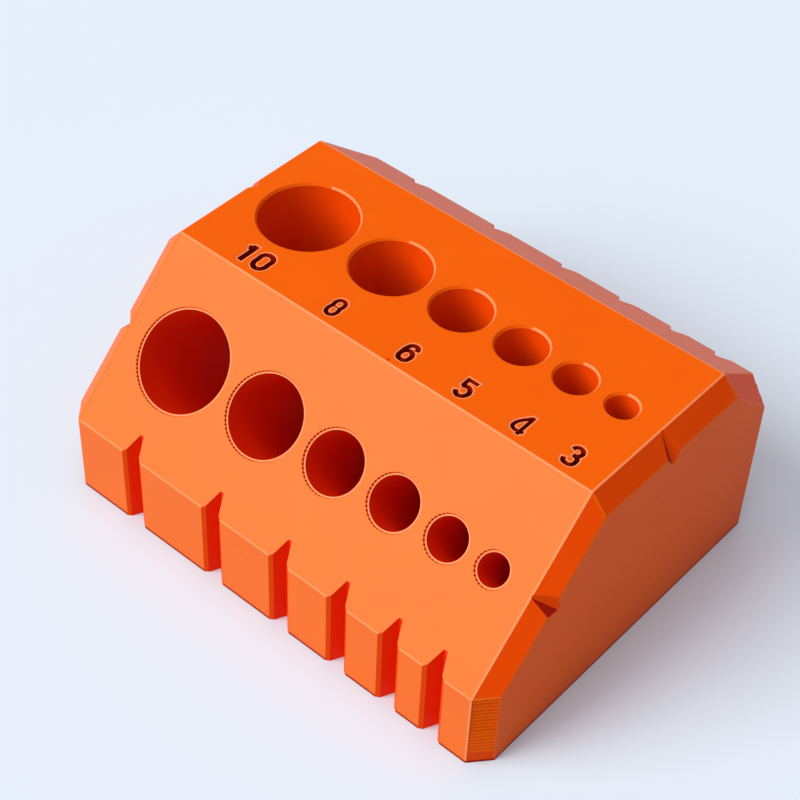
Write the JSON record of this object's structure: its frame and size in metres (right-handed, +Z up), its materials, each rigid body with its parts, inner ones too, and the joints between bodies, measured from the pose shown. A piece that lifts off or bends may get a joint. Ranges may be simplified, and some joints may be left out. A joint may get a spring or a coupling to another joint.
{
  "type": "drill bit holder",
  "caption": "Printed drill bit holder and guide block: graded bores through a flat top and a 45 degree face, notches marking their centre lines.",
  "frame": {"origin": "middle of the flat base, at the centre of the block's length and depth", "axes": "+X along the block from the widest bore to the narrowest, +Y from the low front face to the back, +Z up"},
  "size_m": [0.0532, 0.0422, 0.024],
  "materials": {
    "printed_plastic": "orange filament print, satin with faint layer lines"
  },
  "bodies": {
    "root": {"guide_block": "printed_plastic"}
  },
  "joints": []
}
